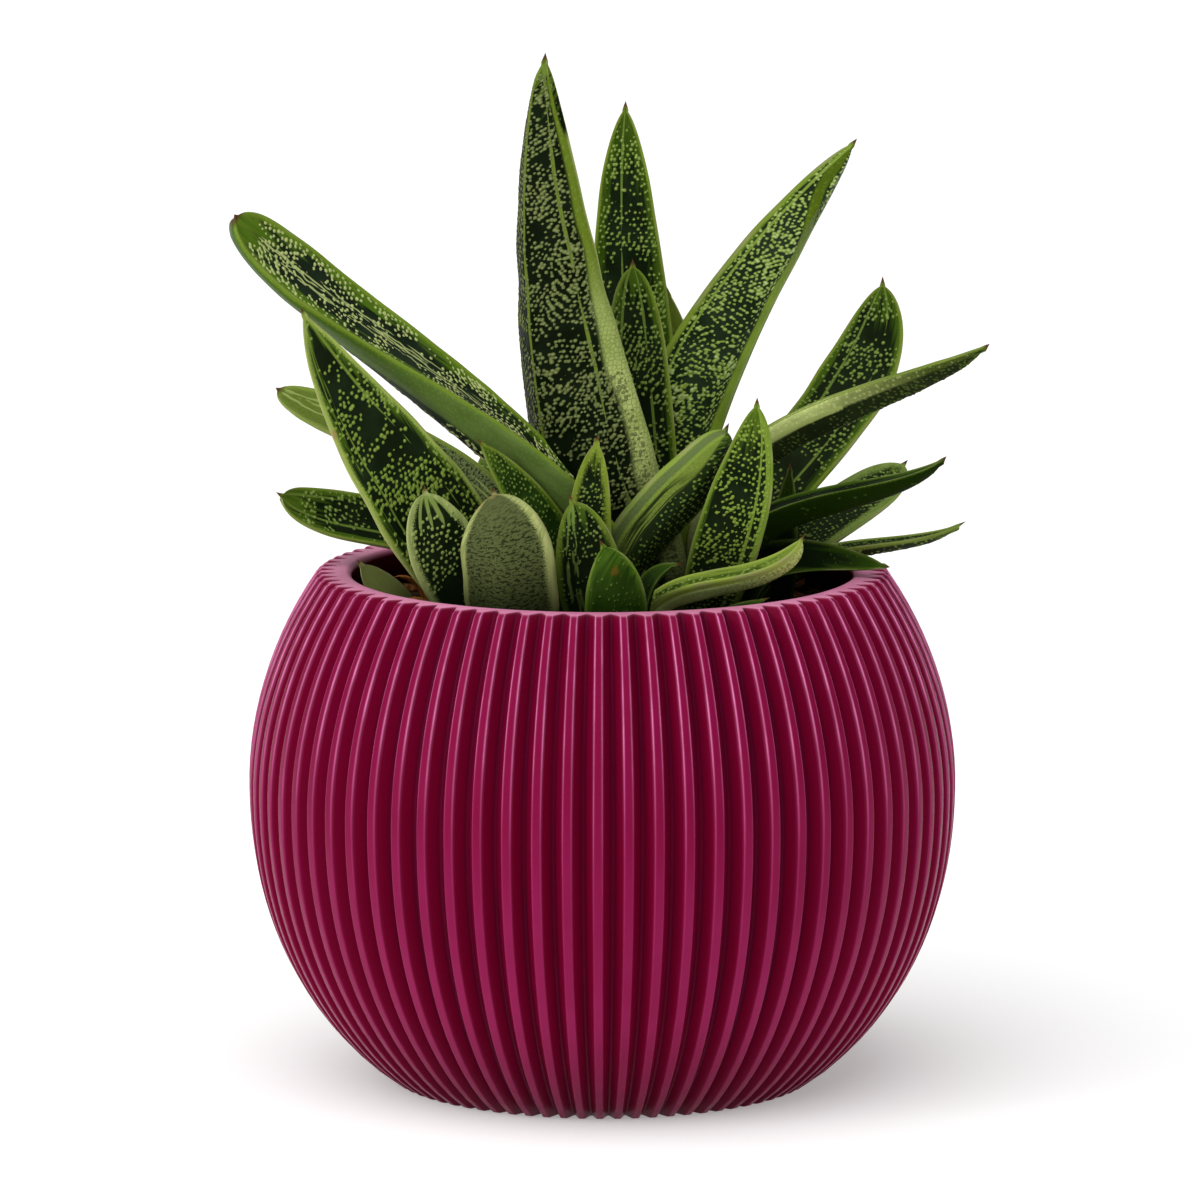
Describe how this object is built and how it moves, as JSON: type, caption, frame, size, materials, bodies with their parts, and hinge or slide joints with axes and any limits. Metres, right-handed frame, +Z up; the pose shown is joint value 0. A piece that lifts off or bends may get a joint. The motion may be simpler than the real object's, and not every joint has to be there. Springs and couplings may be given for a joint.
{
  "type": "potted gasteria",
  "caption": "Clump of small warty gasteria rosettes, keeled pointed leaves, standing in soil in a round ribbed glazed pot.",
  "frame": {"origin": "centre of the pot's flat foot, on the surface it stands on", "axes": "+Z up, +X to the viewer's right in the pictured view, +Y away from the viewer"},
  "size_m": [0.169, 0.16, 0.2357],
  "materials": {
    "glazed_pot": "satin raspberry glaze",
    "soil": "matt crumbs and bark",
    "leaf": "satin, dark green with pale raised dots",
    "pale_leaf": "satin pale green",
    "dry_leaf": "matt dry brown"
  },
  "bodies": {
    "root": {"dry_leaf_front_left": "dry_leaf", "dry_leaf_left": "dry_leaf", "leaf_back_far_left": "leaf", "leaf_back_leaning": "leaf", "leaf_back_left_upright": "leaf", "leaf_back_low_left": "leaf", "leaf_back_low_right": "leaf", "leaf_back_middle": "leaf", "leaf_back_right_upright": "leaf", "leaf_back_small": "leaf", "leaf_back_upright": "leaf", "leaf_centre_fourth": "leaf", "leaf_centre_second": "leaf", "leaf_centre_tall": "leaf", "leaf_centre_third": "leaf", "leaf_curved_pale": "pale_leaf", "leaf_dark_inner": "leaf", "leaf_front": "leaf", "leaf_front_low": "leaf", "leaf_front_right": "leaf", "leaf_front_small": "leaf", "leaf_front_tiny": "pale_leaf", "leaf_left_back": "leaf", "leaf_left_front": "leaf", "leaf_left_inner": "leaf", "leaf_left_long": "leaf", "leaf_left_low": "leaf", "leaf_left_spear": "leaf", "leaf_over_rim_right": "leaf", "leaf_right_broad": "leaf", "leaf_right_high": "leaf", "leaf_right_long": "leaf", "leaf_right_low": "leaf", "leaf_right_middle": "leaf", "leaf_right_upper": "leaf", "leaf_rim_left": "leaf", "leaf_slanting": "leaf", "leaf_small_pointed": "leaf", "leaf_stubby": "leaf", "pot": "glazed_pot", "soil": "soil"}
  },
  "joints": []
}
